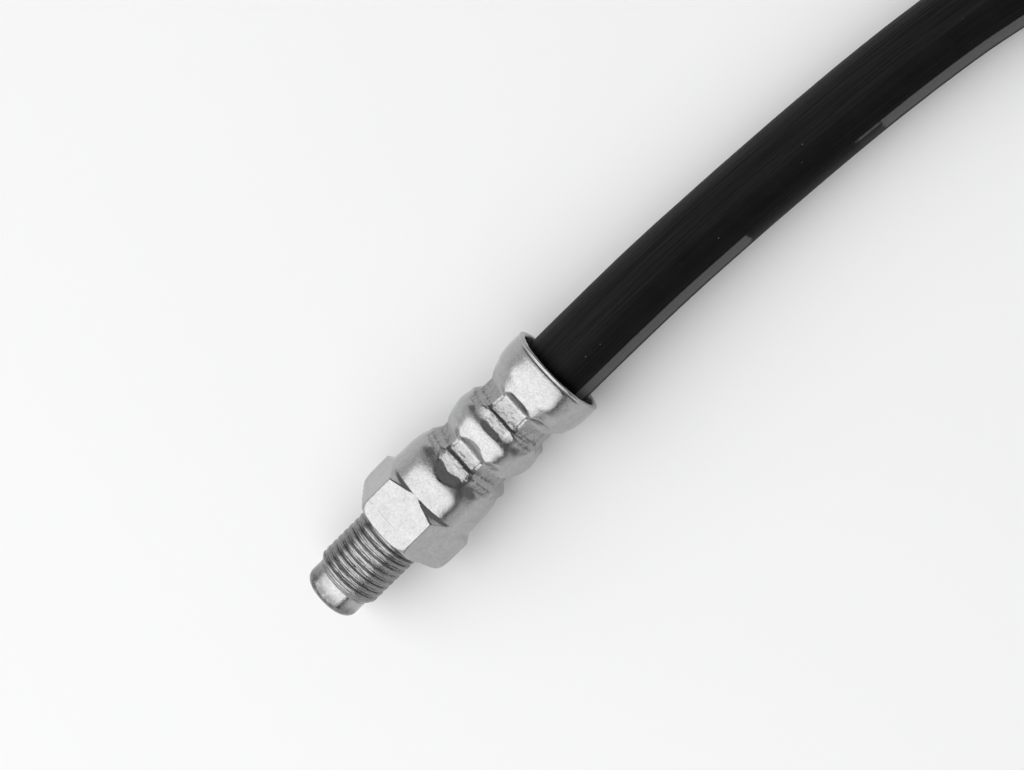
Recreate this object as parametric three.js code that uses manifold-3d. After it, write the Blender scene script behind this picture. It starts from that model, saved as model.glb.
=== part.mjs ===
// Brake hose: a rubber hose with a one-piece steel end fitting crimped over each end.
//
// Each fitting is turned from hexagon bar. From its tip it has a smooth nose with the fluid
// passage, a male thread, a hexagon for the spanner, and a thin skirt that takes the hose.
// A steel insert is pressed into the fitting's passage and stands inside the skirt. The hose end
// is pushed over the insert, and eight jaws close the skirt onto the rubber in two bands.
//
// Units are millimetres, +Z is up and the assembly lies on the plane z = 0. The near fitting lies
// along X with its nose towards -X, and the origin is on the surface below its middle.
import * as THREE from 'three';
import { mergeVertices } from 'three/addons/utils/BufferGeometryUtils.js';
import Module from 'manifold-3d';

const wasm = await Module();
wasm.setup();

// Nose and thread, measured from the fitting's tip
const NOSE_RADIUS = 4.1;
const NOSE_EDGE_RADIUS = 1.2;
const NOSE_LENGTH = 3.3;
const THREAD_RADIUS = 4.76; // 3/8 in - 24 UNF over its crests
const THREAD_LEAD_IN = 1.0;
const THREAD_LENGTH = 9.3; // with its lead-in

// Hexagon
const HEX_ACROSS_FLATS = 14.0;
const HEX_CORNER_RADIUS = 8.03; // the bar's corners are just broken
const HEX_LENGTH = 7.7;
const HEX_FRONT_CONE = THREE.MathUtils.degToRad(68); // from the axis
const HEX_REAR_CHAMFER = THREE.MathUtils.degToRad(45);
const HEX_FACE_WIDTH = 0.15; // flat ring in front, between the thread and the cone

// Skirt before and after crimping, measured from the hexagon's rear edge
const SKIRT_RADIUS = 6.93;
const SKIRT_LENGTH = 23.8;
const SKIRT_STRAIGHT = 4.2;
const MOUTH_RADIUS = HEX_ACROSS_FLATS / 2; // the widest round that the bar gives
const MOUTH_STRAIGHT = 3.0;
const LIP_LENGTH = 0.35;
const LIP_WIDTH = 0.55;
const MIDDLE_BULGE_START = 12.2; // its widest place
const MIDDLE_BULGE_RADIUS = 6.5;
const VALLEY_STARTS = [8.2, 16.6]; // the narrowest places
const VALLEY_RADIUS = 5.64;
const SKIRT_WALL = 1.15; // where the jaws press
const MOUTH_WALL = 0.85;

// Crimp: eight flat jaws, each with a shallow and a deep step, close in two bands
const JAW_COUNT = 8;
const JAW_TURN = THREE.MathUtils.degToRad(5.2); // of the jaws against the hexagon
const BAND_STARTS = [5.35, 12.95]; // from the hexagon's rear edge
const JAW_LENGTH = 4.4;
const JAW_SHALLOW = { from: 0.4, to: 1.6, radius: 6.1, slope: -0.15 };
const JAW_DEEP = { from: 2.0, to: 3.8, radius: 5.2, slope: -0.03 };
const RIDGE_HEIGHT = 0.1; // metal squeezed up between two jaws
const RIDGE_HALF_ANGLE = THREE.MathUtils.degToRad(3.2);

// Passage, socket and insert
const PASSAGE_RADIUS = 1.5;
const INSERT_RADIUS = 2.2;
const INSERT_SEAT_DEPTH = 4.5; // length pressed into the fitting
const INSERT_SHORT_OF_MOUTH = 3.6;
const INSERT_END_CHAMFER = 0.4;
const SOCKET_FLOOR = 0.6; // behind the hexagon's rear edge
const SOCKET_RADIUS = 5.6;
const SOCKET_EASE_DELAY = 1.0; // the socket narrows a little after the skirt does
const FIT_CLEARANCE = 0.12; // between the insert, the fitting and the hose
const SEAT_CLEARANCE = 0.3; // end to end

// Hose
const HOSE_RADIUS = 5.1;
const HOSE_BORE_RADIUS = 1.6;
const HOSE_SIDES = 12;
const HOSE_STEPS = 30;
const HOSE_ENTRY = 2.0; // length of free hose inside each mouth
const GRIP_OVERLAP = 1.0; // of the free hose and its squeezed end
const LYING_CLEARANCE = 0.05; // under the hose where it lies

// Facets
const ROUND_SIDES = 48;
const INNER_SIDES = 24;
const EDGE_STEPS = 4;
const SKIRT_STEPS = 4; // from one of its knots to the next
const SOCKET_STEPS = 3;

// Stations along the fitting, from its tip
const THREAD_START = NOSE_LENGTH;
const HEX_START = THREAD_START + THREAD_LENGTH;
const HEX_END = HEX_START + HEX_LENGTH;
const FITTING_LENGTH = HEX_END + SKIRT_LENGTH;
const SKIRT_EASE_START = HEX_END + SKIRT_STRAIGHT;
const MOUTH_EASE_END = FITTING_LENGTH - MOUTH_STRAIGHT;
const BANDS = BAND_STARTS.map((start) => HEX_END + start);
const VALLEYS = VALLEY_STARTS.map((start) => HEX_END + start);
const MIDDLE_BULGE = HEX_END + MIDDLE_BULGE_START;
const REST_HEIGHT = HEX_ACROSS_FLATS / 2; // the hexagon's flat and the mouth's rim touch the surface
const LYING_HEIGHT = HOSE_RADIUS + LYING_CLEARANCE;
const HOSE_START = FITTING_LENGTH / 2 - HOSE_ENTRY;

// Route of the free hose's centre line on the surface, from one mouth to the other. It leaves the
// near fitting level, sinks onto the surface in about four diameters, bends gently to the right
// and then turns back in one wide loop.
const HOSE_ROUTE = [
  [HOSE_START, 0, REST_HEIGHT],
  [26, 0, REST_HEIGHT],
  [33, 0, 6.85],
  [41, -0.05, 6.4],
  [49, -0.3, 5.8],
  [57, -0.65, 5.35],
  [65, -1.15, LYING_HEIGHT],
  [74, -1.9, LYING_HEIGHT],
  [83, -2.9, LYING_HEIGHT],
  [92, -4.3, LYING_HEIGHT],
  [102, -6.8, LYING_HEIGHT],
  [114, -12, LYING_HEIGHT],
  [126, -20.5, LYING_HEIGHT],
  [136, -32, LYING_HEIGHT],
  [142, -46, LYING_HEIGHT],
  [143.5, -61, LYING_HEIGHT],
  [140, -76, LYING_HEIGHT],
  [132, -89, LYING_HEIGHT],
  [120, -99, LYING_HEIGHT],
  [106, -105, 5.5],
  [94, -107.6, 6.2],
  [84, -108.8, 6.85],
  [76, -109.2, REST_HEIGHT],
  [70, -109.4, REST_HEIGHT],
].map(([x, y, z]) => new THREE.Vector3(x, y, z));

// Materials
const zincPlate = new THREE.MeshStandardMaterial({ color: 0xb4b5b6, roughness: 0.35, metalness: 1.0 });
const bareSteel = new THREE.MeshStandardMaterial({ color: 0x9a9b9c, roughness: 0.4, metalness: 1.0 });
const blackRubber = new THREE.MeshStandardMaterial({ color: 0x151516, roughness: 0.65, metalness: 0.0 });

// Turns a closed three.js geometry into a solid that can be joined and cut.
function solidOf(geometry) {
  const bare = new THREE.BufferGeometry();
  bare.setAttribute('position', geometry.getAttribute('position').clone());
  if (geometry.index) bare.setIndex(geometry.index.clone());
  const merged = mergeVertices(bare, 1e-4);
  const mesh = new wasm.Mesh({
    numProp: 3,
    vertProperties: new Float32Array(merged.getAttribute('position').array),
    triVerts: new Uint32Array(merged.index.array),
  });
  return new wasm.Manifold(mesh);
}

function geometryOf(solid) {
  const mesh = solid.getMesh();
  const geometry = new THREE.BufferGeometry();
  geometry.setAttribute('position', new THREE.BufferAttribute(new Float32Array(mesh.vertProperties), 3));
  geometry.setIndex(new THREE.BufferAttribute(new Uint32Array(mesh.triVerts), 1));
  geometry.computeVertexNormals();
  return geometry;
}

// Turns an outline of [station, radius] points about the X axis.
function turned(outline, sides) {
  const points = outline.map(([station, radius]) => new THREE.Vector2(radius, station));
  return new THREE.LatheGeometry(points, sides).rotateZ(-Math.PI / 2);
}

// Closes a stack of rings, each with the same number of points, into one solid along X.
function loft(rings) {
  const sides = rings[0].length;
  const positions = rings.flat().flatMap((point) => point.toArray());
  const indices = [];
  for (let ring = 0; ring < rings.length - 1; ring++) {
    for (let side = 0; side < sides; side++) {
      const next = (side + 1) % sides;
      const a = ring * sides + side;
      const b = ring * sides + next;
      indices.push(a, b, a + sides, b, b + sides, a + sides);
    }
  }
  for (const [ring, first] of [[0, true], [rings.length - 1, false]]) {
    const centre = positions.length / 3;
    positions.push(rings[ring][0].x, 0, 0);
    for (let side = 0; side < sides; side++) {
      const a = ring * sides + side;
      const b = ring * sides + ((side + 1) % sides);
      indices.push(...(first ? [centre, b, a] : [centre, a, b]));
    }
  }
  const geometry = new THREE.BufferGeometry();
  geometry.setAttribute('position', new THREE.Float32BufferAttribute(positions, 3));
  geometry.setIndex(indices);
  return geometry;
}

// Value that runs smoothly through [station, value] knots, level at each knot.
function eased(knots, station) {
  if (station <= knots[0][0]) return knots[0][1];
  for (let i = 1; i < knots.length; i++) {
    const [end, value] = knots[i];
    const [start, before] = knots[i - 1];
    if (station <= end) return before + (value - before) * THREE.MathUtils.smoothstep(station, start, end);
  }
  return knots.at(-1)[1];
}

// Skirt's outer radius between the jaws: a shoulder, two valleys with a bulge between, and the mouth.
const SKIRT_KNOTS = [
  [SKIRT_EASE_START, SKIRT_RADIUS],
  [VALLEYS[0], VALLEY_RADIUS],
  [MIDDLE_BULGE, MIDDLE_BULGE_RADIUS],
  [VALLEYS[1], VALLEY_RADIUS],
  [MOUTH_EASE_END, MOUTH_RADIUS],
];

// Distance of a closed jaw's face from the axis, or Infinity outside the bands.
function jawDistance(station) {
  for (const start of BANDS) {
    const along = station - start;
    if (along < 0 || along > JAW_LENGTH) continue;
    const onto = (land, at) => land.radius + land.slope * (at - land.from);
    if (along < JAW_SHALLOW.from) {
      const part = along / JAW_SHALLOW.from;
      return THREE.MathUtils.lerp(SKIRT_RADIUS, JAW_SHALLOW.radius, part);
    }
    if (along <= JAW_SHALLOW.to) return onto(JAW_SHALLOW, along);
    if (along < JAW_DEEP.from) {
      const part = (along - JAW_SHALLOW.to) / (JAW_DEEP.from - JAW_SHALLOW.to);
      return THREE.MathUtils.lerp(onto(JAW_SHALLOW, JAW_SHALLOW.to), JAW_DEEP.radius, part);
    }
    if (along <= JAW_DEEP.to) return onto(JAW_DEEP, along);
    const part = (along - JAW_DEEP.to) / (JAW_LENGTH - JAW_DEEP.to);
    return THREE.MathUtils.lerp(onto(JAW_DEEP, JAW_DEEP.to), MOUTH_RADIUS, part);
  }
  return Infinity;
}

// Crimped section: the skirt's circle cut by the eight jaw faces, with a ridge left between jaws.
function crimpedRing(station) {
  const circle = eased(SKIRT_KNOTS, station);
  const distance = jawDistance(station);
  const half = Math.PI / JAW_COUNT;
  const foot = half - RIDGE_HALF_ANGLE;
  const offsets = [-half, -foot, -foot / 3, foot / 3, foot];
  const ring = [];
  for (let jaw = 0; jaw < JAW_COUNT; jaw++) {
    for (const offset of offsets) {
      const ridge = offset === -half ? RIDGE_HEIGHT : 0;
      const radius = Math.min(circle, distance / Math.cos(offset) + ridge);
      const angle = JAW_TURN + 2 * half * jaw + offset;
      ring.push(new THREE.Vector3(station, -radius * Math.sin(angle), radius * Math.cos(angle)));
    }
  }
  return ring;
}

// Circle with its points at the angles of the crimped section.
function roundRing(station, radius) {
  return crimpedRing(HEX_END).map((point) => {
    const scale = radius / Math.hypot(point.y, point.z);
    return new THREE.Vector3(station, point.y * scale, point.z * scale);
  });
}

// Nose, thread and the skirt with its crimp, as one solid body of round and crimped sections.
function barrel() {
  const rings = [];
  for (let step = 0; step <= EDGE_STEPS; step++) {
    const angle = (Math.PI / 2) * (step / EDGE_STEPS);
    const radius = NOSE_RADIUS - NOSE_EDGE_RADIUS * (1 - Math.sin(angle));
    rings.push(roundRing(NOSE_EDGE_RADIUS * (1 - Math.cos(angle)), radius));
  }
  const inHex = (HEX_START + HEX_END) / 2;
  rings.push(roundRing(THREAD_START, NOSE_RADIUS));
  rings.push(roundRing(THREAD_START + THREAD_LEAD_IN, THREAD_RADIUS));
  rings.push(roundRing(inHex, THREAD_RADIUS));
  rings.push(roundRing(inHex, SKIRT_RADIUS));

  const stations = new Set();
  for (let knot = 1; knot < SKIRT_KNOTS.length; knot++) {
    const start = SKIRT_KNOTS[knot - 1][0];
    const end = SKIRT_KNOTS[knot][0];
    for (let step = 0; step < SKIRT_STEPS; step++) stations.add(start + ((end - start) * step) / SKIRT_STEPS);
  }
  for (const start of BANDS) {
    const edges = [0, JAW_SHALLOW.from, JAW_SHALLOW.to, JAW_DEEP.from, JAW_DEEP.to, JAW_LENGTH];
    for (const edge of edges) stations.add(start + edge);
  }
  stations.add(MOUTH_EASE_END);
  stations.add(FITTING_LENGTH - LIP_LENGTH);
  const ordered = [...stations].sort((a, b) => a - b);
  for (const station of ordered) rings.push(crimpedRing(station));
  rings.push(roundRing(FITTING_LENGTH, MOUTH_RADIUS - LIP_WIDTH));
  return solidOf(loft(rings));
}

// Hexagon with the cone on its front and the chamfer behind, which run out on the flats.
function hexagon() {
  const circumradius = HEX_ACROSS_FLATS / 2 / Math.cos(Math.PI / 6);
  const outline = new THREE.Shape();
  for (let corner = 0; corner < 6; corner++) {
    const angle = (Math.PI / 3) * corner;
    const at = [circumradius * Math.cos(angle), circumradius * Math.sin(angle)];
    if (corner === 0) outline.moveTo(...at);
    else outline.lineTo(...at);
  }
  outline.closePath();
  const bar = new THREE.ExtrudeGeometry(outline, { depth: HEX_LENGTH, bevelEnabled: false });
  // The bar's axis turns from Z to X, with a flat on top and a corner at each side.
  bar.rotateY(Math.PI / 2).rotateX(Math.PI / 2).translate(HEX_START, 0, 0);

  const frontRadius = THREAD_RADIUS + HEX_FACE_WIDTH;
  const frontLength = (HEX_CORNER_RADIUS - frontRadius) / Math.tan(HEX_FRONT_CONE);
  const rearRadius = SKIRT_RADIUS - HEX_FACE_WIDTH; // ends just inside the skirt
  const rearLength = (HEX_CORNER_RADIUS - rearRadius) / Math.tan(HEX_REAR_CHAMFER);
  const envelope = turned([
    [HEX_START, 0],
    [HEX_START, frontRadius],
    [HEX_START + frontLength, HEX_CORNER_RADIUS],
    [HEX_END - rearLength, HEX_CORNER_RADIUS],
    [HEX_END, rearRadius],
    [HEX_END, 0],
  ], ROUND_SIDES);
  return solidOf(bar).intersect(solidOf(envelope));
}

// Socket's inner radius at a station: it follows the crimped skirt at the wall's thickness.
const SOCKET_START = HEX_END + SOCKET_FLOOR;
const SOCKET_KNOTS = [
  [SKIRT_EASE_START + SOCKET_EASE_DELAY, SOCKET_RADIUS],
  [VALLEYS[0], JAW_DEEP.radius - SKIRT_WALL],
  [MIDDLE_BULGE, MIDDLE_BULGE_RADIUS - SKIRT_WALL],
  [VALLEYS[1], JAW_DEEP.radius - SKIRT_WALL],
  [MOUTH_EASE_END, MOUTH_RADIUS - MOUTH_WALL],
];

function socketOutline(from, to, less) {
  const stations = [from];
  for (let knot = 0; knot < SOCKET_KNOTS.length; knot++) {
    const start = SOCKET_KNOTS[knot][0];
    const end = knot + 1 < SOCKET_KNOTS.length ? SOCKET_KNOTS[knot + 1][0] : start;
    const steps = end > start ? SOCKET_STEPS : 1;
    for (let step = 0; step < steps; step++) {
      const station = start + ((end - start) * step) / steps;
      if (station > from && station < to) stations.push(station);
    }
  }
  stations.push(to);
  return stations.map((station) => [station, eased(SOCKET_KNOTS, station) - less]);
}

// Everything that is bored out of a fitting: fluid passage, insert seat and hose socket.
function boredOut() {
  const past = 1; // the cut runs past both ends
  return solidOf(turned([
    [-past, 0],
    [-past, PASSAGE_RADIUS],
    [SOCKET_START - INSERT_SEAT_DEPTH, PASSAGE_RADIUS],
    [SOCKET_START - INSERT_SEAT_DEPTH, INSERT_RADIUS + FIT_CLEARANCE],
    [SOCKET_START, INSERT_RADIUS + FIT_CLEARANCE],
    ...socketOutline(SOCKET_START, FITTING_LENGTH + past, 0),
    [FITTING_LENGTH + past, 0],
  ], INNER_SIDES));
}

function fittingGeometry() {
  const whole = barrel().add(hexagon()).subtract(boredOut());
  return geometryOf(whole).translate(-FITTING_LENGTH / 2, 0, 0);
}

// Steel tube that is pressed into the fitting and backs the rubber under the crimp.
function insertGeometry() {
  const start = SOCKET_START - INSERT_SEAT_DEPTH + SEAT_CLEARANCE;
  const end = FITTING_LENGTH - INSERT_SHORT_OF_MOUTH;
  const bore = PASSAGE_RADIUS;
  const outline = [
    [start, bore],
    [start, INSERT_RADIUS],
    [end - INSERT_END_CHAMFER, INSERT_RADIUS],
    [end, INSERT_RADIUS - INSERT_END_CHAMFER],
    [end, bore],
    [start, bore],
  ];
  return turned(outline, INNER_SIDES).translate(-FITTING_LENGTH / 2, 0, 0);
}

// Hose end as the crimp leaves it: squeezed between the skirt and the insert.
function grippedEnd() {
  const start = SOCKET_START + SEAT_CLEARANCE;
  const end = FITTING_LENGTH - HOSE_ENTRY + GRIP_OVERLAP;
  const inside = INSERT_RADIUS + FIT_CLEARANCE;
  const core = HOSE_RADIUS * Math.cos(Math.PI / HOSE_SIDES) - FIT_CLEARANCE;
  const squeezed = socketOutline(start, end, FIT_CLEARANCE);
  const outer = squeezed.map(([station, radius]) => [station, Math.min(radius, core)]);
  const outline = [[start, inside], ...outer, [end, inside], [start, inside]];
  return turned(outline, INNER_SIDES).translate(-FITTING_LENGTH / 2, 0, 0);
}

function freeHose(path) {
  const section = new THREE.Shape();
  const bore = new THREE.Path();
  for (let side = 0; side < HOSE_SIDES; side++) {
    const angle = (2 * Math.PI * (side + 0.5)) / HOSE_SIDES;
    const [x, y] = [Math.cos(angle), Math.sin(angle)];
    if (side === 0) {
      section.moveTo(HOSE_RADIUS * x, HOSE_RADIUS * y);
      bore.moveTo(HOSE_BORE_RADIUS * x, HOSE_BORE_RADIUS * y);
    } else {
      section.lineTo(HOSE_RADIUS * x, HOSE_RADIUS * y);
      bore.lineTo(HOSE_BORE_RADIUS * x, HOSE_BORE_RADIUS * y);
    }
  }
  section.closePath();
  bore.closePath();
  section.holes.push(bore);
  return new THREE.ExtrudeGeometry(section, { steps: HOSE_STEPS, extrudePath: path });
}

// One end of the assembly: the fitting and its insert, with the axis at the resting height.
function endGroup(name) {
  const group = new THREE.Group();
  const fitting = new THREE.Mesh(fittingGeometry(), zincPlate);
  const insert = new THREE.Mesh(insertGeometry(), bareSteel);
  fitting.name = `${name}_fitting`;
  insert.name = `${name}_insert`;
  group.add(fitting, insert);
  group.position.z = REST_HEIGHT;
  return group;
}

const path = new THREE.CatmullRomCurve3(HOSE_ROUTE, false, 'centripetal');

const nearEnd = endGroup('near');

// The far end meets the hose's other end and points along it.
const farEnd = endGroup('far');
const farStop = HOSE_ROUTE.at(-1);
const farHeading = new THREE.Vector3().subVectors(farStop, HOSE_ROUTE.at(-2)).setZ(0).normalize();
farEnd.rotation.z = Math.atan2(farHeading.y, farHeading.x) + Math.PI;
farEnd.position.copy(farStop).addScaledVector(farHeading, HOSE_START);
nearEnd.updateMatrixWorld();
farEnd.updateMatrixWorld();

const nearGrip = grippedEnd().applyMatrix4(nearEnd.matrixWorld);
const farGrip = grippedEnd().applyMatrix4(farEnd.matrixWorld);
const hoseSolid = solidOf(freeHose(path)).add(solidOf(nearGrip)).add(solidOf(farGrip));
const hose = new THREE.Mesh(geometryOf(hoseSolid), blackRubber);
hose.name = 'hose';

const brakeHose = new THREE.Group();
brakeHose.add(nearEnd, hose, farEnd);

export default brakeHose;
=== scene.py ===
import math

import bpy
import numpy as np
from mathutils import Matrix, Vector


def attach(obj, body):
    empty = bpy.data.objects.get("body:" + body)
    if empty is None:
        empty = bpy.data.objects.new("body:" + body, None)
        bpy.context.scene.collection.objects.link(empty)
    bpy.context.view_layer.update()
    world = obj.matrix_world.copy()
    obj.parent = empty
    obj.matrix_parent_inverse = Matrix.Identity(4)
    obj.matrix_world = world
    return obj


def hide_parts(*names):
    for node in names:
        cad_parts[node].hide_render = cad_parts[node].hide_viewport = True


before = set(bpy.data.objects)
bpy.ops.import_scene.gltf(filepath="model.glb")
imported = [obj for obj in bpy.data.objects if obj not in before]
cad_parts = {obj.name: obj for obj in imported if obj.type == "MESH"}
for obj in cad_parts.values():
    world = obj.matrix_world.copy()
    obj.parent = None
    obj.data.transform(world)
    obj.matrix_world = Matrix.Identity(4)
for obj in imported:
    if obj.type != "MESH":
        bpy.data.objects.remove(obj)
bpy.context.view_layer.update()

MM = 0.001
FULL_TURN = 2 * math.pi

# Camera. It looks down at the near fitting, whose nose points to the lower left of the picture.
IMAGE_WIDTH, IMAGE_HEIGHT = 1024, 770
FOCAL_PX = 2000.0
TILT = math.radians(10.35)  # of the fitting's axis out of the picture's plane
TWIST = math.radians(12.1)  # of the camera round that axis
ROLL = math.radians(44.6)  # of the axis within the picture
MOUTH_PX = (559.4, 369.6)
PX_PER_MM = 7.67  # at the mouth

# The fitting, in mm. A station is the distance from its tip along its axis.
LENGTH = 44.1
REST = 7.0  # height of its axis
PASSAGE_RADIUS = 1.5
NOSE_RADIUS = 4.1
NOSE_ROUNDING = 1.3
NOSE_END = 3.3
THREAD_PITCH = 1.058
THREAD_CREST, THREAD_ROOT = 4.77, 4.4
RUN_OUT_RADIUS = 4.3  # of the groove between the thread and the hexagon
HEX_START, HEX_END = 12.6, 20.3
HEX_HALF = 7.0  # of the distance across its flats
CUTTER_LINE = HEX_START + 2.55  # a fine line across the flats
SEAT_RADIUS = 2.32  # of the hole that the insert is pressed into


def camera():
    """The camera, placed so that it sees the fitting's mouth where the photo shows it."""
    u = Vector((math.cos(ROLL), math.sin(ROLL), 0))
    v = Vector((math.sin(ROLL), -math.cos(ROLL), 0))
    w = Vector((0, 0, 1))
    axis = math.cos(TILT) * u + math.sin(TILT) * w
    base = -math.sin(TILT) * u + math.cos(TILT) * w
    up = math.cos(TWIST) * base - math.sin(TWIST) * v
    side = up.cross(axis)
    # its rows are the world's axes as the camera sees them, so it turns camera to world
    to_world = Matrix((axis, side, up))
    right = (MOUTH_PX[0] - IMAGE_WIDTH / 2) / PX_PER_MM
    down = (MOUTH_PX[1] - IMAGE_HEIGHT / 2) / PX_PER_MM
    mouth = Vector((right, -down, -FOCAL_PX / PX_PER_MM))
    place = Vector((LENGTH / 2, 0, REST)) - to_world @ mouth
    data = bpy.data.cameras.new("camera")
    data.sensor_width = 36
    data.lens = FOCAL_PX / IMAGE_WIDTH * data.sensor_width
    data.clip_start, data.clip_end = 0.01, 20
    cam = bpy.data.objects.new("camera", data)
    bpy.context.scene.collection.objects.link(cam)
    cam.matrix_world = Matrix.Translation(place * MM) @ to_world.to_4x4()
    bpy.context.scene.camera = cam
    return cam


cam = camera()


# Shape helpers
def smooth(x):
    x = np.clip(x, 0, 1)
    return x * x * (3 - 2 * x)


def through(knots, at):
    """A smooth curve through (station, value) knots, without overshoot."""
    x, y = (np.array(c, float) for c in zip(*knots))
    h = np.diff(x)
    d = np.diff(y) / h
    m = np.zeros_like(y)
    inner = (d[:-1] * d[1:]) > 0
    w1, w2 = 2 * h[1:] + h[:-1], h[1:] + 2 * h[:-1]
    with np.errstate(divide="ignore", invalid="ignore"):
        m[1:-1] = np.where(inner, (w1 + w2) / (w1 / d[:-1] + w2 / d[1:]), 0)
    at = np.clip(np.asarray(at, float), x[0], x[-1])
    i = np.clip(np.searchsorted(x, at) - 1, 0, len(h) - 1)
    t = (at - x[i]) / h[i]
    return (
        y[i] * (1 + 2 * t) * (1 - t) ** 2
        + h[i] * m[i] * t * (1 - t) ** 2
        + y[i + 1] * t * t * (3 - 2 * t)
        + h[i] * m[i + 1] * t * t * (t - 1)
    )


def soft_min(a, b, k):
    """The smaller of a and b, rounded over k where they meet."""
    h = np.clip(0.5 + 0.5 * (b - a) / k, 0, 1)
    return b + (a - b) * h - k * h * (1 - h)


def angles(n):
    return np.arange(n) * (FULL_TURN / n)


def from_top(angle, top):
    """How far an angle is from the one named top, the short way round."""
    return np.abs((angle - top + math.pi) % FULL_TURN - math.pi)


def store(data, name, values):
    """Keep one number for each point of the mesh, for its material."""
    layer = data.attributes.new(name, "FLOAT", "POINT")
    layer.data.foreach_set("value", np.asarray(values, np.float32))


class Noise:
    """Smooth random heights over (station, angle), the same at angle 0 and a full turn."""

    def __init__(self, seed, across=64, along=128):
        self.table = np.random.default_rng(seed).uniform(-1, 1, (along, across))

    def __call__(self, station, angle, cell_mm, cells_round):
        x = np.asarray(station, float) / cell_mm
        y = np.asarray(angle, float) / FULL_TURN * cells_round
        xi, yi = np.floor(x).astype(int), np.floor(y).astype(int)
        fx, fy = smooth(x - xi), smooth(y - yi)
        along, across = self.table.shape

        def at(i, j):
            return self.table[(xi + i) % along, ((yi + j) % cells_round) % across]

        first = at(0, 0) * (1 - fx) + at(1, 0) * fx
        second = at(0, 1) * (1 - fx) + at(1, 1) * fx
        return first * (1 - fy) + second * fy


rough = Noise(3)
rough_b = Noise(7)
wander = Noise(21)

# Radius over the crimp's ridges and along the round parts of the skirt. In this list and in the next ones
# that belong to the skirt, stations count from the hexagon's rear edge.
SKIRT = [
    (0.0, 6.99), (1.2, 6.96), (2.4, 6.95), (3.0, 6.93), (3.6, 6.87), (4.2, 6.78), (4.8, 6.67), (5.4, 6.55),
    (6.0, 6.44), (6.5, 6.36), (6.95, 6.3), (7.1, 5.97), (7.4, 5.82), (7.8, 5.7), (8.4, 5.7), (8.7, 5.93),
    (9.1, 6.03), (9.75, 6.12), (10.4, 6.25), (11.0, 6.38), (11.5, 6.48), (11.9, 6.5), (12.3, 6.48),
    (12.7, 6.42), (13.1, 6.36), (13.75, 6.31), (14.62, 6.28), (14.8, 6.02), (15.1, 5.9), (15.75, 5.72),
    (16.4, 5.66), (16.7, 5.7), (17.0, 5.9), (17.4, 6.0), (17.8, 6.1), (18.4, 6.3), (19.1, 6.54),
    (19.7, 6.77), (20.4, 6.9), (21.1, 6.98), (21.9, 7.0), (23.8, 7.0),
]

# The crimp's two bands. A closed jaw's face is given as (station, distance from the axis) in three parts: its
# beginning, the step from its shallow to its deep face, and its end. The jaw that faces up has the sharp step
# and the others the soft one.
OPEN = 9.0
BANDS = [
    {
        "begin": [(4.6, OPEN), (4.72, 6.5), (4.86, 6.22), (4.96, 6.12)],
        "sharp": [(6.93, 6.03), (6.98, 5.9), (7.04, 5.36), (7.1, 5.24)],
        "soft": [(6.3, 6.0), (6.7, 5.8), (7.3, 5.32), (7.7, 5.22)],
        "end": [(8.55, 5.17), (8.68, 5.21), (9.9, 5.97), (10.15, 6.15), (10.5, OPEN)],
        "front": 4.96,  # where the faces begin
        "drawn": 1.5,  # how far in front of them the metal is drawn down
        "late": 1.0,  # how much later the jaws at the sides begin
        "back": 8.65,  # where the deep faces end
    },
    {
        "begin": [(12.5, OPEN), (12.7, 6.45), (12.95, 6.17), (13.1, 6.1)],
        "sharp": [(14.61, 6.02), (14.66, 5.9), (14.72, 5.36), (14.78, 5.24)],
        "soft": [(14.0, 6.0), (14.4, 5.8), (14.9, 5.32), (15.3, 5.22)],
        "end": [(16.9, 5.17), (17.02, 5.21), (17.85, 5.74), (18.1, 5.98), (18.4, OPEN)],
        "front": 13.1,
        "drawn": 0.8,
        "late": 0.35,
        "back": 17.0,
    },
]
JAWS = 8
JAW_TURN = math.radians(5.2)
# Each jaw closed a little more or less than the next.
JAW_ERROR = np.array([0.0, 0.05, -0.05, 0.06, 0.0, -0.04, 0.04, 0.06])

# The crease that two neighbouring jaws leave between them, and the low ridge on each side of it.
CREASE_DEPTH, CREASE_WIDTH = 0.17, math.radians(1.4)
RIDGE_HEIGHT, RIDGE_AWAY, RIDGE_WIDTH = 0.03, math.radians(3.4), math.radians(1.0)

# The ear of metal squeezed out between two jaws, beside the first band's shallow faces.
EAR_HEIGHT, EAR_AT, EAR_WIDTH = 0.42, math.radians(115), math.radians(15)
EAR_BEGIN, EAR_END = 5.3, 7.1

# The cones that cut the hexagon's corners back, as (distance from its front or its rear edge, radius). The
# rear one leads to the skirt.
HEX_FRONT = [
    (0.0, 4.95), (0.08, 5.15), (0.6, 7.0), (0.85, 7.48), (1.1, 7.72), (1.6, 7.88), (2.2, 7.98), (3.0, 8.03),
    (3.6, 8.03),
]
HEX_REAR = [(-1.4, 8.34), (-1.17, 8.06), (-0.78, 7.5), (-0.5, 7.18), (-0.28, 7.05), (0.0, 6.99)]

# A fine line in front of the rolled lip, then the lip, as (distance from the mouth, radius).
LIP = [
    (0.72, 6.98), (0.6, 6.965), (0.54, 6.93), (0.46, 6.93), (0.41, 6.97), (0.3, 7.02), (0.18, 7.03),
    (0.08, 6.99), (0.02, 6.9), (0.0, 6.78), (0.0, 6.45), (0.03, 6.3),
]
LIP_INSIDE = [(0.12, 6.2), (0.3, 6.15)]

# The socket from the mouth inwards, then the insert's seat and the passage.
SOCKET = [
    (20.8, 6.15), (19.7, 5.85), (18.7, 5.2), (17.6, 4.4), (16.6, 4.05), (15.5, 4.25), (14.0, 4.9),
    (12.2, 5.35), (10.7, 5.0), (9.4, 4.3), (8.2, 4.05), (7.4, 4.3), (6.4, 5.0), (5.2, 5.6), (0.6, 5.6),
    (0.6, SEAT_RADIUS), (-3.9, SEAT_RADIUS), (-3.9, PASSAGE_RADIUS),
]

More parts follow.
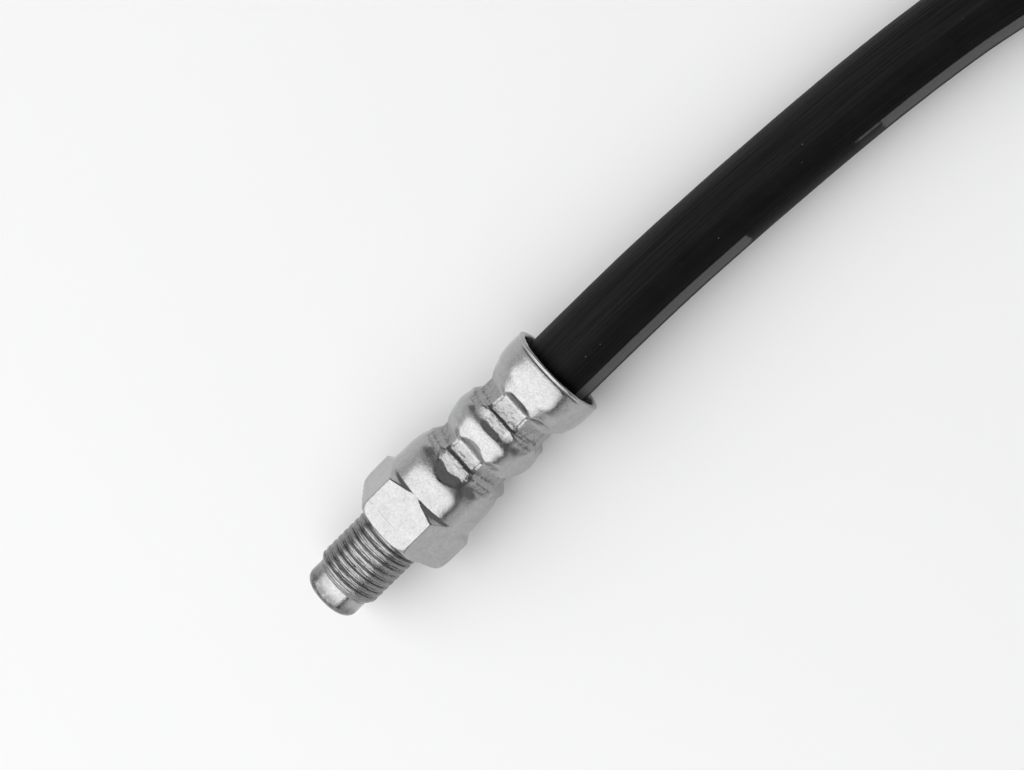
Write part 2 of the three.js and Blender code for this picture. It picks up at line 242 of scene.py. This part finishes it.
# How many points each ring has.
PASSAGE_SIDES, NOSE_SIDES, HEX_SIDES, SKIRT_SIDES, LIP_INSIDE_SIDES, SOCKET_SIDES = 48, 144, 240, 360, 180, 72
RINGS_PER_TURN = 14  # of the thread
RIM_STAIN = 0.8


def hex_radius(station, angle):
    """The hexagon, with its corners cut back further at both sides, and most towards +Y."""
    sector = (angle + math.pi / 6) % (math.pi / 3) - math.pi / 6
    flat = HEX_HALF / np.cos(sector)
    at_sides = smooth((np.abs(np.sin(angle)) - 0.65) / 0.3)
    at_left = smooth((-np.sin(angle) - 0.5) / 0.16)
    front = through(HEX_FRONT, station - HEX_START - 0.5 * at_sides - 0.6 * at_left)
    rear = through(HEX_REAR, station - HEX_END)
    return soft_min(flat, soft_min(front, rear, 0.05), 0.05)


def thread_radius(station, angle):
    phase = (station / THREAD_PITCH - angle / FULL_TURN) % 1.0
    wave = np.abs(2 * phase - 1)  # 0 in the groove's middle, 1 in the crest's
    height = 0.92 * smooth((wave - 0.26) / 0.32) + 0.08 * wave
    radius = THREAD_ROOT + (THREAD_CREST - THREAD_ROOT) * height
    lead = NOSE_RADIUS + (station - NOSE_END) * 0.75
    radius = soft_min(radius, lead, 0.08)
    run_out = smooth((station - (HEX_START - 0.75)) / 0.3)
    return radius * (1 - run_out) + RUN_OUT_RADIUS * run_out


def jaw_face(band, step):
    return band["begin"] + band[step] + band["end"]


def skirt_surface(station, angle):
    """(radius, how much a jaw has marked the surface) of the crimped skirt."""
    station = station - HEX_END
    circle = through(SKIRT, station)
    pitch = FULL_TURN / JAWS
    turn = (angle - JAW_TURN + 0.012 * rough_b(station, angle, 0.5, 20)) % FULL_TURN
    error = JAW_ERROR[np.floor(turn / pitch + 0.5).astype(int) % JAWS]
    offset = (turn + pitch / 2) % pitch - pitch / 2
    beside = pitch / 2 - np.abs(offset)
    ridge = RIDGE_HEIGHT * np.exp(-((beside - RIDGE_AWAY) / RIDGE_WIDTH) ** 2)
    crease = CREASE_DEPTH * np.exp(-(beside / CREASE_WIDTH) ** 2)
    grain = 0.013 * rough(station, angle, 0.36, 80) + 0.01 * rough_b(station, angle, 0.23, 120)
    relief = ridge - crease + grain
    # the jaws beside the top one begin later, and those further round later still
    away = from_top(angle, JAW_TURN)
    others = smooth((away - 0.33) / 0.12)  # 0 on the jaw that faces up
    lag = 0.85 * smooth(away / 0.42) + 0.4 * smooth((away - 0.8) / 0.8)
    radius, marked = circle, np.zeros(len(angle))
    for band in BANDS:
        front, back, drawn = band["front"], band["back"], band["drawn"]
        face, soft_face = jaw_face(band, "sharp"), jaw_face(band, "soft")
        late = band["late"] * lag * (1 - smooth((station - front) / 2.0))
        at = station - late + 0.05 * rough(angle * 0, angle, 1.0, 40)
        distance = through(face, at) * (1 - others) + through(soft_face, at) * others + error
        # the metal drawn down in front of the faces
        flat = through(face, front) + error
        sunk = soft_min(circle, flat / np.cos(offset), 0.12)
        pull = np.clip((at - front + drawn) / drawn, 0, 1) ** 2 * (station < front + 1.3)
        drawn_down = circle - (circle - sunk) * pull
        # the faces themselves, whose relief fades at their end
        pressed = distance / np.cos(offset) + relief * (1 - 0.8 * smooth((at - back) / 0.2))
        inside = (at > face[0][0]) & (at < face[-1][0])
        new = np.where(inside, soft_min(drawn_down, pressed, 0.04), drawn_down)
        begun = smooth((at - front + 0.15) / 0.1)
        ended = smooth((at - back + 0.1) / 0.2)
        marked = np.maximum(marked, smooth((circle - new) / 0.08) * inside * begun * (1 - ended))
        radius = np.minimum(radius, new)
    rise = smooth((station - EAR_BEGIN) / 0.9) * (1 - smooth((station - EAR_END) / 0.6))
    ear = EAR_HEIGHT * np.exp(-((angle - EAR_AT) / EAR_WIDTH) ** 2) * rise
    return radius + ear, marked * (1 - 0.7 * np.clip(ear / 0.4, 0, 1))


class Shell:
    """A closed surface made of rings round the X axis. Each ring starts on top and goes round towards -Y.

    Its layers are mark (1 where a jaw has pressed), stain and painted shade (darkening at the nose, and
    painted shade on the thread's sides), and zone (0.5 on the thread).
    """

    LAYERS = ("mark", "stain", "zone")

    def __init__(self):
        self.points, self.faces, self.rings = [], [], []
        self.layers = {name: [] for name in self.LAYERS}
        self.count = 0

    def ring(self, station, radius, sides=None, **layers):
        """A ring of one radius with so many sides, or of an array of radii."""
        n = sides or len(radius)
        radius = np.broadcast_to(np.asarray(radius, float), n)
        y, z = -radius * np.sin(angles(n)), REST + radius * np.cos(angles(n))
        self.points.append(np.stack([np.full(n, station - LENGTH / 2), y, z], 1))
        for name in self.LAYERS:
            self.layers[name].append(np.broadcast_to(layers.get(name, 0.0), n))
        self.rings.append((self.count, n))
        self.count += n
        if len(self.rings) > 1:
            self.join(self.rings[-2], self.rings[-1])

    def join(self, first, second):
        (a, na), (b, nb) = first, second
        if na == nb:
            i = np.arange(na)
            j = (i + 1) % na
            self.faces += np.stack([a + i, a + j, b + j, b + i], 1).tolist()
            return
        i = j = 0
        while i < na or j < nb:
            if (i + 1) / na <= (j + 1) / nb:
                self.faces.append([a + i, a + (i + 1) % na, b + j % nb])
                i += 1
            else:
                self.faces.append([a + i % na, b + (j + 1) % nb, b + j])
                j += 1

    def close(self):
        self.join(self.rings[-1], self.rings[0])

    def mesh(self, name):
        data = bpy.data.meshes.new(name)
        data.from_pydata((np.concatenate(self.points) * MM).tolist(), [], self.faces)
        for layer, values in self.layers.items():
            store(data, layer, np.concatenate(values))
        data.polygons.foreach_set("use_smooth", np.ones(len(data.polygons), bool))
        data.update()
        return data


def add_nose(shell):
    for station, radius in ((0.55, PASSAGE_RADIUS), (0.35, PASSAGE_RADIUS), (0.06, 1.78), (0.0, 1.88)):
        shell.ring(station, radius, PASSAGE_SIDES, zone=1)
    shell.ring(0.0, 2.4, NOSE_SIDES, zone=1)
    upper = smooth((np.cos(angles(NOSE_SIDES) + math.radians(58)) - 0.5) / 0.4)
    for step in np.linspace(0.05, 1, 14):
        turn = step * math.pi / 2
        station = NOSE_ROUNDING * (1 - math.cos(turn))
        radius = NOSE_RADIUS - NOSE_ROUNDING * (1 - math.sin(turn))
        shell.ring(station, radius, NOSE_SIDES, stain=np.maximum(upper, RIM_STAIN))
    # behind the rim its stain fades
    for station in (1.5, 1.7, 2.0, 2.4, 2.8, 3.0):
        rim = RIM_STAIN * (1 - smooth((station - 1.2) / 1.2))
        beside = upper * (1 - 0.5 * smooth((station - 1.2) / 1.6))
        shell.ring(station, NOSE_RADIUS, NOSE_SIDES, stain=np.maximum(beside, rim))


def add_thread(shell):
    round_it = angles(NOSE_SIDES)
    # painted shade: the thread's sides are darkened in colour, as if less light fell there, in the same layer
    # as the nose's stain
    at_sides = 0.5 * smooth((from_top(round_it, 0.2) - 0.45) / 0.35)
    for station in np.arange(NOSE_END, HEX_START - 0.02, THREAD_PITCH / RINGS_PER_TURN):
        shell.ring(station, thread_radius(station, round_it), zone=0.5, stain=at_sides)
    shell.ring(HEX_START - 0.03, RUN_OUT_RADIUS, NOSE_SIDES, zone=0.5)
    shell.ring(HEX_START, 4.36, NOSE_SIDES)


def add_hexagon(shell):
    spans = [
        [0.0, 0.04, 0.1], np.linspace(0.2, 3.6, 24), np.linspace(3.9, 5.9, 5),
        np.linspace(6.1, HEX_END - HEX_START, 17),
    ]
    shell.ring(HEX_START, 4.85, HEX_SIDES)
    for station in HEX_START + np.concatenate(spans):
        shell.ring(station, hex_radius(station, angles(HEX_SIDES)))


def add_skirt(shell):
    """The skirt's rings are closest over the jaws' faces and at their steps."""
    spans = [
        [0.06, 0.2, 0.5], np.linspace(0.9, 4.3, 12), np.linspace(4.4, 5.1, 8), np.linspace(5.2, 10.1, 42),
        np.linspace(10.3, 12.5, 11), np.linspace(12.6, 18.5, 48), np.linspace(18.7, 22.9, 15),
    ]
    at_jaws = [station for band in BANDS for station, _ in jaw_face(band, "sharp")]
    at_steps = [7.02, 7.12, 14.72, 14.82]
    stations = np.unique(np.round(np.concatenate([*spans, at_jaws, at_steps]), 3))
    stations = stations[np.diff(stations, prepend=-1) > 0.03]
    for station in HEX_END + stations:
        radius, mark = skirt_surface(np.full(SKIRT_SIDES, station), angles(SKIRT_SIDES))
        shell.ring(station, radius, mark=mark)
    for back, radius in LIP:
        shell.ring(LENGTH - back, radius, SKIRT_SIDES)
    for back, radius in LIP_INSIDE:
        shell.ring(LENGTH - back, radius, LIP_INSIDE_SIDES)


def fitting_mesh():
    shell = Shell()
    add_nose(shell)
    add_thread(shell)
    add_hexagon(shell)
    add_skirt(shell)
    for station, radius in SOCKET:
        shell.ring(HEX_END + station, radius, SOCKET_SIDES)
    shell.close()
    return shell.mesh("fitting")


# The hose. Its route runs from a little inside one mouth to as far inside the other.
INSIDE_MOUTH = 2.0
HOSE_RADIUS = 5.1
LYING = 5.15  # height of its axis where it lies on the surface
HOSE_START = LENGTH / 2 - INSIDE_MOUTH
ROUTE = np.array([
    (HOSE_START, 0, REST), (26, 0, REST), (33, 0, 6.85), (41, -0.05, 6.4), (49, -0.3, 5.8), (57, -0.65, 5.35),
    (65, -1.15, LYING), (74, -1.9, LYING), (83, -2.9, LYING), (92, -4.3, LYING), (102, -6.8, LYING),
    (114, -12, LYING), (126, -20.5, LYING), (136, -32, LYING), (142, -46, LYING), (143.5, -61, LYING),
    (140, -76, LYING), (132, -89, LYING), (120, -99, LYING), (106, -105, 5.5), (94, -107.6, 6.2),
    (84, -108.8, 6.85), (76, -109.2, REST), (70, -109.4, REST),
], float)
POINTS_PER_SPAN = 40
HOSE_RINGS = 150
HOSE_SIDES = 320
RIBS = 64

# The gripped ends run straight on inside the fittings: how far from the hose's end, and the radius there.
GRIP_DEPTH = 20.0
GRIP_AT = np.array([0.3, 4, 8, 12, 14, 15.5, 16.5, 17.5, 18.5, 19.2])
GRIP_RADIUS = np.array([4.3, 4.0, 4.1, 4.9, 4.7, 4.05, 4.08, 4.3, 4.75, 5.05])

# The stripe, as an angle from the top towards -Y, and its pieces along the hose.
STRIPE_FROM, STRIPE_TO = math.radians(58.6), math.radians(84)
STRIPE_PIECES = [(-30.0, 31.7), (53.8, 400.0)]
THIN_PIECE = (49.8, 53.7)  # only the stripe's upper edge is left here


def centripetal(points, per_span):
    """Points along the smooth curve through the route, as the CAD source takes it."""
    p = np.vstack([2 * points[0] - points[1], points, 2 * points[-1] - points[-2]])
    out = []
    for i in range(1, len(p) - 2):
        x0, x1, x2, x3 = p[i - 1:i + 3]
        a, b, c = (np.linalg.norm(q - r) ** 0.5 for q, r in ((x1, x0), (x2, x1), (x3, x2)))
        t1 = ((x1 - x0) / a - (x2 - x0) / (a + b) + (x2 - x1) / b) * b
        t2 = ((x2 - x1) / b - (x3 - x1) / (b + c) + (x3 - x2) / c) * b
        t = np.linspace(0, 1, per_span, endpoint=False)[:, None]
        square = 3 * x2 - 3 * x1 - 2 * t1 - t2
        cube = 2 * x1 - 2 * x2 + t1 + t2
        out.append(x1 + t1 * t + square * t ** 2 + cube * t ** 3)
    return np.vstack(out + [points[-1:]])


def far_placement():
    """Where the far fitting is, so that the hose runs straight into it."""
    heading = ROUTE[-1] - ROUTE[-2]
    heading[2] = 0
    heading /= np.linalg.norm(heading)
    origin = ROUTE[-1] + heading * HOSE_START
    origin[2] = 0
    turn = math.atan2(heading[1], heading[0]) + math.pi
    return Matrix.Translation(Vector(origin) * MM) @ Matrix.Rotation(turn, 4, "Z")


def unit(vectors):
    return vectors / np.linalg.norm(vectors, axis=-1, keepdims=True)


def hose_line():
    """(points, distance along, radius) of the hose's centre line, with its gripped ends."""
    line = centripetal(ROUTE, POINTS_PER_SPAN)
    along = np.concatenate([[0], np.cumsum(np.linalg.norm(np.diff(line, axis=0), axis=1))])
    free = along[-1]
    at = np.linspace(0, free, HOSE_RINGS)
    centre = np.stack([np.interp(at, along, line[:, k]) for k in range(3)], 1)
    near = centre[0] + unit(centre[0] - centre[1]) * (GRIP_DEPTH - GRIP_AT)[:, None]
    far = centre[-1] + unit(centre[-1] - centre[-2]) * (GRIP_DEPTH - GRIP_AT[::-1])[:, None]
    points = np.vstack([near, centre, far])
    distance = np.concatenate([GRIP_AT - GRIP_DEPTH, at, free + GRIP_DEPTH - GRIP_AT[::-1]])
    radius = np.concatenate([GRIP_RADIUS, np.full(HOSE_RINGS, HOSE_RADIUS), GRIP_RADIUS[::-1]])
    return points, distance, radius


def hose_mesh(points, distance, radius):
    tangent = unit(np.gradient(points, axis=0))
    # up stays as near to +Z as the tangent allows, so the hose isn't twisted
    up = unit(np.array([0, 0, 1.0]) - tangent * tangent[:, 2:3])
    side = np.cross(tangent, up)  # to the right of the way the hose runs, which is -Y at its start
    angle = angles(HOSE_SIDES)
    wave = 0.5 + 0.5 * np.cos(angle * RIBS)
    rib = 0.035 * (wave ** 0.7 - 1) + 0.01 * np.cos(angle * 5 + 1) + 0.012 * np.cos(angle * 11)
    vertices = []
    for i in range(len(points)):
        r = radius[i] + rib + 0.02 * wander(np.full(HOSE_SIDES, distance[i]), angle, 3.1, 16)
        vertices.append(points[i] + np.outer(r * np.cos(angle), up[i]) + np.outer(r * np.sin(angle), side[i]))
    rings = len(points)
    i = np.arange(HOSE_SIDES)
    j = (i + 1) % HOSE_SIDES
    faces = []
    for k in range(rings - 1):
        a, b = k * HOSE_SIDES, (k + 1) * HOSE_SIDES
        faces += np.stack([a + i, a + j, b + j, b + i], 1).tolist()
    faces.append(list(range(HOSE_SIDES))[::-1])
    faces.append(list(range((rings - 1) * HOSE_SIDES, rings * HOSE_SIDES)))
    data = bpy.data.meshes.new("hose_cover")
    data.from_pydata((np.concatenate(vertices) * MM).tolist(), [], faces)
    store(data, "along", np.repeat(distance, HOSE_SIDES))
    # the angle as a cosine and a sine, so that it has no seam
    store(data, "turn_cos", np.tile(np.cos(angle), rings))
    store(data, "turn_sin", np.tile(np.sin(angle), rings))
    data.polygons.foreach_set("use_smooth", np.ones(len(data.polygons), bool))
    data.update()
    return data


# Materials
class Nodes:
    """A short way to write a material's nodes."""

    def __init__(self, name):
        self.material = bpy.data.materials.new(name)
        self.material.use_nodes = True
        self.tree = self.material.node_tree
        self.tree.nodes.clear()

    def node(self, kind, values=(), **settings):
        node = self.tree.nodes.new(kind)
        for key, value in settings.items():
            setattr(node, key, value)
        for key, value in dict(values).items():
            if isinstance(value, bpy.types.NodeSocket):
                self.tree.links.new(value, node.inputs[key])
            else:
                node.inputs[key].default_value = value
        return node

    def math(self, operation, a, b=0.0, clamp=False):
        return self.node("ShaderNodeMath", {0: a, 1: b}, operation=operation, use_clamp=clamp).outputs[0]

    def plus(self, first, *others):
        for other in others:
            first = self.math("ADD", first, other)
        return first

    def times(self, first, *others):
        for other in others:
            first = self.math("MULTIPLY", first, other)
        return first

    def minus(self, value, amount):
        return self.math("SUBTRACT", value, amount)

    def mix(self, factor, a, b):
        return self.node("ShaderNodeMix", {0: factor, 6: a, 7: b}, data_type="RGBA").outputs[2]

    def range(self, value, low, high, to_low=0.0, to_high=1.0):
        values = {0: value, 1: low, 2: high, 3: to_low, 4: to_high}
        return self.node("ShaderNodeMapRange", values, interpolation_type="SMOOTHSTEP").outputs[0]

    def window(self, value, start, end, soft):
        """1 between start and end, 0 outside."""
        begun = self.range(value, start - soft, start + soft)
        return self.times(begun, self.range(value, end - soft, end + soft, 1.0, 0.0))

    def near(self, value, middle, inner, outer):
        """1 within inner of the middle, 0 beyond outer."""
        return self.range(self.math("ABSOLUTE", self.minus(value, middle)), inner, outer, 1.0, 0.0)

    def noise(self, vector, scale, detail=3.0, rough=0.55):
        values = {"Vector": vector, "Scale": scale, "Detail": detail, "Roughness": rough}
        return self.node("ShaderNodeTexNoise", values).outputs[0]

    def attribute(self, name):
        return self.node("ShaderNodeAttribute", attribute_name=name).outputs["Fac"]

    def coordinates(self, scale=(1000, 1000, 1000)):
        """The object's own coordinates, in mm unless a scale is given."""
        source = self.node("ShaderNodeTexCoord").outputs["Object"]
        return self.node("ShaderNodeMapping", {"Vector": source, "Scale": scale}).outputs[0]

    def bump(self, height, strength, distance_mm):
        values = {"Height": height, "Strength": strength, "Distance": distance_mm * MM}
        return self.node("ShaderNodeBump", values).outputs[0]

    def principled(self, base, roughness, normal, **others):
        values = {"Base Color": base, "Roughness": roughness, "Normal": normal, **others}
        return self.output(self.node("ShaderNodeBsdfPrincipled", values).outputs[0])

    def output(self, shader):
        out = self.node("ShaderNodeOutputMaterial")
        self.tree.links.new(shader, out.inputs["Surface"])
        return self.material


def grey(value):
    return (value, value, value * 1.005, 1)


def zinc_material():
    """Zinc plate: bright and speckled, crumpled where the jaws pressed, stained at the nose's rim, darker on
    the nose's upper side and over the thread, with painted shade on the thread's sides.
    """
    n = Nodes("zinc_plate")
    here = n.coordinates()
    mark = n.attribute("mark")
    thread = n.near(n.attribute("zone"), 0.5, 0.1, 0.3)
    cloud = n.noise(here, 0.9, 4)
    speckle = n.noise(here, 3.4, 4, 0.65)
    fine = n.noise(here, 8.0, 2)
    crumple = n.noise(here, 1.9, 3, 0.6)
    turned = n.noise(n.coordinates((4200, 250, 250)), 1.0, 2)
    # tone
    tone = n.plus(n.times(n.minus(cloud, 0.5), 0.12), 0.385, n.times(n.minus(speckle, 0.5), 0.26))
    # this layer holds the nose's darkening and the painted shade on the thread's sides
    stain = n.times(n.attribute("stain"), n.range(n.noise(here, 1.6, 3), 0.3, 0.6, 0.55, 1.0))
    darker = n.plus(n.times(thread, 0.15), n.times(stain, 0.7), n.times(mark, 0.1))
    tone = n.times(tone, n.minus(1.0, darker))
    base = n.node("ShaderNodeCombineColor", {0: tone, 1: tone, 2: tone}).outputs[0]
    # pits and the cutter's line
    x = n.node("ShaderNodeSeparateXYZ", {0: here}).outputs[0]
    line = n.near(x, CUTTER_LINE - LENGTH / 2, 0.03, 0.09)
    line = n.times(line, n.range(n.noise(here, 0.5, 3), 0.42, 0.6))
    pits = n.math("MAXIMUM", n.range(speckle, 0.66, 0.72), line)
    base = n.mix(n.times(pits, 0.35), base, grey(0.15))
    # finish
    roughness = n.plus(n.times(n.minus(speckle, 0.5), 0.14), 0.16)
    rougher = n.plus(n.times(mark, 0.1), n.times(thread, 0.06))
    roughness = n.math("ADD", roughness, rougher, clamp=True)
    height = n.plus(n.times(speckle, 0.7), n.times(fine, 0.4))
    height = n.plus(height, n.times(crumple, n.times(mark, 1.7)), n.times(turned, n.times(thread, 8.0)))
    return n.principled(base, roughness, n.bump(height, 0.4, 0.06), Metallic=1.0)


def steel_material():
    """The inserts' bare turned steel."""
    n = Nodes("bare_steel")
    rings = n.noise(n.coordinates((14000, 1200, 1200)), 1.0, 2)
    base = n.mix(n.noise(n.coordinates(), 0.9, 4), grey(0.34), grey(0.5))
    roughness = n.plus(n.times(rings, 0.2), 0.25)
    return n.principled(base, roughness, n.bump(rings, 0.3, 0.03), Metallic=1.0)


def stripe_paint(n, here, along, turn):
    """1 where the hose is painted: the stripe's pieces, with ragged ends and wavy edges."""
    ragged = n.times(n.minus(n.noise(here, 2.2, 3), 0.5), 1.6)
    edge = n.times(n.minus(n.noise(here, 3.0, 2), 0.5), 0.03)
    across = n.plus(turn, edge)
    place = n.plus(along, ragged)
    thin = n.range(place, THIN_PIECE[0] - 0.3, THIN_PIECE[0] + 0.6)
    thin = n.times(thin, n.range(place, THIN_PIECE[1] - 0.25, THIN_PIECE[1] + 0.25, 1.0, 0.0))
    painted = n.times(thin, n.range(across, STRIPE_FROM + 0.05, STRIPE_FROM + 0.09, 0.8, 0.12))
    for start, end in STRIPE_PIECES:
        painted = n.math("MAXIMUM", painted, n.window(place, start, end, 0.25))
    return n.times(n.window(across, STRIPE_FROM, STRIPE_TO, 0.01), painted)


def rubber_material():
    """Black rubber with fine lines that run along the hose, a few specks and the grey stripe."""
    n = Nodes("hose_rubber")
    here = n.coordinates()
    along, cosine, sine = n.attribute("along"), n.attribute("turn_cos"), n.attribute("turn_sin")
    turn = n.math("ARCTAN2", sine, cosine)
    wear = n.noise(here, 0.35, 4)
    grain = n.noise(here, 5.0, 3)
    stretched = {0: n.times(cosine, 16.0), 1: n.times(sine, 16.0), 2: n.times(along, 0.05)}
    lines = n.noise(n.node("ShaderNodeCombineXYZ", stretched).outputs[0], 1.3, 3, 0.7)
    line = n.range(lines, 0.36, 0.66)
    # painted light: the cover is painted paler on one side as a sheen, and painted darker beside the stripe
    # as a reflection of the dark room
    plain = n.mix(line, grey(0.003), grey(0.011))
    painted_sheen_side = n.mix(line, grey(0.007), grey(0.018))
    painted_dark_reflection = n.mix(line, grey(0.001), grey(0.004))
    # where the painted dark reflection lies, beside the stripe
    beside = n.times(n.range(turn, 0.16, 0.34), n.range(turn, STRIPE_TO, STRIPE_TO + 0.2, 1.0, 0.0))
    base = n.mix(n.range(turn, -1.2, 0.25), painted_sheen_side, plain)
    base = n.mix(beside, base, painted_dark_reflection)
    base = n.mix(n.times(n.range(wear, 0.35, 0.75), 0.25), base, grey(0.010))
    specks = n.node("ShaderNodeTexVoronoi", {"Vector": here, "Scale": 0.33}).outputs["Distance"]
    base = n.mix(n.range(specks, 0.02, 0.04, 0.7, 0.0), base, grey(0.14))
    worn = n.range(grain, 0.25, 0.5, 0.72, 1.0)
    base = n.mix(n.times(stripe_paint(n, here, along, turn), worn), base, grey(0.09))
    roughness = n.plus(n.times(grain, 0.16), 0.42)
    height = n.plus(n.times(grain, 0.5), n.times(lines, 0.8))
    return n.principled(base, roughness, n.bump(height, 0.4, 0.06), **{"Specular IOR Level": 0.1})


def flat_material(name, colour):
    n = Nodes(name)
    return n.output(n.node("ShaderNodeBsdfDiffuse", {"Color": colour}).outputs[0])


def piece(name, data, material):
    obj = bpy.data.objects.new(name, data)
    bpy.context.scene.collection.objects.link(obj)
    data.materials.clear()
    data.materials.append(material)
    return obj


# The part's pieces
zinc, steel, rubber = zinc_material(), steel_material(), rubber_material()
fitting = fitting_mesh()
near = piece("near_fitting_detailed", fitting, zinc)
far = piece("far_fitting_detailed", fitting, zinc)
far.matrix_world = far_placement()
line, distance, radius = hose_line()
hose = piece("hose_cover", hose_mesh(line, distance, radius), rubber)
for obj, node, slot in (
    (near, "near_fitting", "zinc_plate"),
    (far, "far_fitting", "zinc_plate"),
    (hose, "hose", "hose_rubber"),
):
    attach(obj, "root")
    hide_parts(node)
for name in ("near_insert", "far_insert"):
    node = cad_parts[name]
    node.data.materials.clear()
    node.data.materials.append(steel)

# Floor and light, in metres
FLOOR_HALF = 3.0
FLOOR_TOP = -0.00003
FLOOR_GREY = 0.93
# The softbox hangs above the fitting. From there it is seen between these angles from the camera's direction:
# along the fitting towards its nose and hose, and across it.
SOFTBOX_ALONG = (-78, -10)
SOFTBOX_ACROSS = (-75, 43)
SOFTBOX_AWAY = 1.0
SOFTBOX_RADIANCE = 1.3
# It has a dark frame on the near side, as wide as this angle, over this part of its edge.
FRAME_ANGLE = 11
FRAME_FROM, FRAME_TO = -150, 10
FRAME_STEPS = 40
# The room is pale and gets dark beyond the hose, where a direction's X is between these values.
SKY_PALE, SKY_DARK = 0.78, 0.24
SKY_TURNS = (-0.01, 0.04)


def floor():
    data = bpy.data.meshes.new("floor")
    corners = [(x * FLOOR_HALF, y * FLOOR_HALF, FLOOR_TOP) for x, y in ((-1, -1), (1, -1), (1, 1), (-1, 1))]
    data.from_pydata(corners, [], [(0, 1, 2, 3)])
    piece("floor", data, flat_material("floor", grey(FLOOR_GREY)))


def softbox():
    turn = cam.matrix_world.to_3x3()
    diagonal = math.cos(math.pi / 4)
    eye = turn @ Vector((0, 0, 1))
    along = turn @ Vector((diagonal, diagonal, 0))
    across = turn @ Vector((diagonal, -diagonal, 0))
    middle_u, middle_v = (math.radians(sum(pair) / 2) for pair in (SOFTBOX_ALONG, SOFTBOX_ACROSS))
    half_angles = [math.radians((high - low) / 2) for low, high in (SOFTBOX_ALONG, SOFTBOX_ACROSS)]
    half_u, half_v = (math.tan(angle) for angle in half_angles)
    toward = (eye + along * math.tan(middle_u) + across * math.tan(middle_v)).normalized()
    x = (along - toward * along.dot(toward)).normalized()
    y = toward.cross(x)  # towards -across
    centre = Vector((0, 0, REST * MM)) + toward * SOFTBOX_AWAY
    data = bpy.data.lights.new("softbox", "AREA")
    data.shape = "ELLIPSE"
    data.size, data.size_y = 2 * half_u * SOFTBOX_AWAY, 2 * half_v * SOFTBOX_AWAY
    data.energy = SOFTBOX_RADIANCE * math.pi * data.size * data.size_y * math.pi / 4
    lamp = bpy.data.objects.new("softbox", data)
    bpy.context.scene.collection.objects.link(lamp)
    lamp.matrix_world = Matrix.Translation(centre) @ Matrix((x, y, toward)).transposed().to_4x4()
    wider = math.tan(half_angles[1] + math.radians(FRAME_ANGLE)) / half_v
    edge = []
    for step in range(FRAME_STEPS + 1):
        angle = math.radians(FRAME_FROM + (FRAME_TO - FRAME_FROM) * step / FRAME_STEPS)
        reach = x * (half_u * math.cos(angle)) + y * (half_v * math.sin(angle))
        edge += [centre + reach * SOFTBOX_AWAY, centre + reach * (wider * SOFTBOX_AWAY)]
    faces = [(i, i + 1, i + 3, i + 2) for i in range(0, 2 * FRAME_STEPS, 2)]
    data = bpy.data.meshes.new("softbox_frame")
    data.from_pydata([tuple(point) for point in edge], [], faces)
    piece("softbox_frame", data, flat_material("frame", grey(0.02)))


def room():
    world = bpy.data.worlds.new("studio")
    bpy.context.scene.world = world
    world.use_nodes = True
    tree = world.node_tree
    tree.nodes.clear()
    where = tree.nodes.new("ShaderNodeTexCoord")
    parts = tree.nodes.new("ShaderNodeSeparateXYZ")
    ramp = tree.nodes.new("ShaderNodeMapRange")
    for socket, value in zip(ramp.inputs[1:5], (*SKY_TURNS, SKY_PALE, SKY_DARK)):
        socket.default_value = value
    back = tree.nodes.new("ShaderNodeBackground")
    back.inputs["Color"].default_value = grey(1.0)
    out = tree.nodes.new("ShaderNodeOutputWorld")
    tree.links.new(where.outputs["Generated"], parts.inputs[0])
    tree.links.new(parts.outputs["X"], ramp.inputs[0])
    tree.links.new(ramp.outputs[0], back.inputs["Strength"])
    tree.links.new(back.outputs[0], out.inputs["Surface"])


floor()
softbox()
room()
bpy.context.scene.view_settings.view_transform = "Standard"
